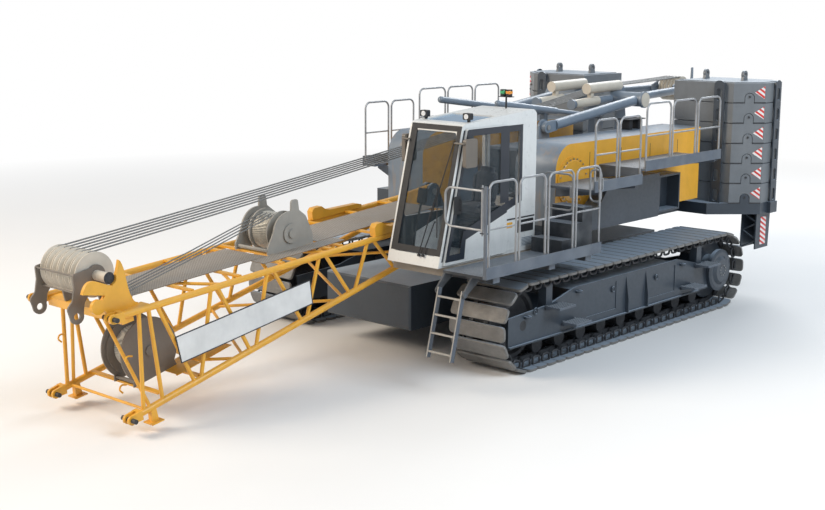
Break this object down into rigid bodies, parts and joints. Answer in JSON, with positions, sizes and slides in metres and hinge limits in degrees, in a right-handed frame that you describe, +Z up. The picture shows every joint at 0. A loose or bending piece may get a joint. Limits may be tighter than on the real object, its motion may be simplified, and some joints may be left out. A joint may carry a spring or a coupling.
{
  "type": "crawler crane",
  "caption": "Tracked lattice-boom crane: slewing upper with cab, walkways, counterweight stacks and folded gantry, and a boom foot section with winches and a sheave block.",
  "frame": {"origin": "where the slewing axis meets the ground", "axes": "+X forward along the boom, +Y towards the cab side, +Z up"},
  "size_m": [17.2656, 6.805, 4.782],
  "materials": {
    "boom_yellow": "satin",
    "grey_paint": "satin",
    "ballast_grey": "matt",
    "cab_white": "gloss",
    "track_grey": "matt",
    "bare_steel": "satin",
    "rail_steel": "satin",
    "deck_grey": "matt",
    "winch_grey": "satin",
    "sheave_cream": "matt",
    "dark_plastic": "matt",
    "seat_cloth": "matt",
    "window_glass": "gloss"
  },
  "bodies": {
    "undercarriage": {"carbody": "grey_paint", "carbody_ballast": "ballast_grey", "track_left": "track_grey", "track_right": "track_grey", "track_frames": "grey_paint", "idlers": "track_grey", "drive_sprockets": "track_grey", "track_rollers": "track_grey", "track_steps": "deck_grey"},
    "superstructure": {"turning_frame": "grey_paint", "boom_foot_pins": "bare_steel", "hoods": "boom_yellow", "winch_covers": "grey_paint", "side_tanks": "grey_paint", "engine": "grey_paint", "middle_cover": "grey_paint", "cab_base": "grey_paint", "cab_frame": "cab_white", "cab_glass": "window_glass", "operator_seat": "seat_cloth", "cab_console": "dark_plastic", "cab_mirrors": "dark_plastic", "work_lamps": "dark_plastic", "cab_platform": "deck_grey", "upper_walkways": "deck_grey", "handrails": "rail_steel", "counterweight_base": "ballast_grey", "counterweight_slabs": "ballast_grey", "lifting_eyes": "ballast_grey", "rear_legs": "grey_paint", "gantry_supports": "grey_paint", "gantry_pins": "bare_steel", "rope_guide": "grey_paint", "backstops": "grey_paint"},
    "guide_roller": {"rope_guide_roller": "winch_grey"},
    "door": {"cab_door": "cab_white", "cab_door_glass": "window_glass"},
    "ladder": {"access_ladder": "rail_steel"},
    "gate": {"platform_gate": "rail_steel"},
    "gantry": {"gantry_legs": "grey_paint", "gantry_head": "grey_paint"},
    "gantry_sheave_set": {"gantry_sheaves": "sheave_cream"},
    "boom": {"boom_chords": "boom_yellow", "boom_side_lacing": "boom_yellow", "boom_face_lacing": "boom_yellow", "boom_feet": "boom_yellow", "boom_head_lugs": "boom_yellow", "boom_head_pins": "bare_steel", "boom_bearers": "boom_yellow", "boom_decks": "deck_grey", "upper_winch_frame": "winch_grey", "lower_winch_frame": "winch_grey", "boom_stands": "boom_yellow", "head_block_frame": "winch_grey", "head_fins": "boom_yellow", "head_beam": "boom_yellow", "head_frame": "boom_yellow"},
    "upper_drum": {"upper_winch_drum": "winch_grey"},
    "lower_drum": {"lower_winch_drum": "winch_grey"},
    "head_sheave_set": {"head_sheaves": "sheave_cream"}
  },
  "joints": [
    {"name": "slew", "type": "hinge", "parent": "undercarriage", "child": "superstructure", "pos_m": [0, 0, 1.48], "axis": [0, 0, 1], "continuous": true},
    {"name": "boom_luff", "type": "hinge", "parent": "superstructure", "child": "boom", "pos_m": [1.2, 0, 2.5], "axis": [0, -1, 0], "range_deg": [0, 90]},
    {"name": "gantry_raise", "type": "hinge", "parent": "superstructure", "child": "gantry", "pos_m": [0.1, 0, 3.83], "axis": [0, 1, 0], "range_deg": [0, 55]},
    {"name": "door_slide", "type": "slide", "parent": "superstructure", "child": "door", "axis": [-1, 0, 0], "range_m": [0, 0.86]},
    {"name": "ladder_fold", "type": "hinge", "parent": "superstructure", "child": "ladder", "pos_m": [5.06, 2.87, 1.64], "axis": [0, -1, 0], "range_deg": [0, 150]},
    {"name": "gate_swing", "type": "hinge", "parent": "superstructure", "child": "gate", "pos_m": [4.87, 3.34, 2.995], "axis": [0, 0, -1], "range_deg": [0, 85]},
    {"name": "guide_roller_turn", "type": "hinge", "parent": "superstructure", "child": "guide_roller", "pos_m": [-3.52, 0, 4.28], "axis": [0, 1, 0], "continuous": true},
    {"name": "gantry_sheaves_turn", "type": "hinge", "parent": "gantry", "child": "gantry_sheave_set", "pos_m": [-6.3, 0, 4.24], "axis": [0, 1, 0], "continuous": true},
    {"name": "upper_winch_turn", "type": "hinge", "parent": "boom", "child": "upper_drum", "pos_m": [6.27664, 0, 2.46314], "axis": [0, 1, 0], "continuous": true},
    {"name": "lower_winch_turn", "type": "hinge", "parent": "boom", "child": "lower_drum", "pos_m": [9.10582, 0.03, 1.00221], "axis": [0, 1, 0], "continuous": true},
    {"name": "head_sheaves_turn", "type": "hinge", "parent": "boom", "child": "head_sheave_set", "pos_m": [10.1347, 0, 2.35927], "axis": [0, 1, 0], "continuous": true}
  ]
}
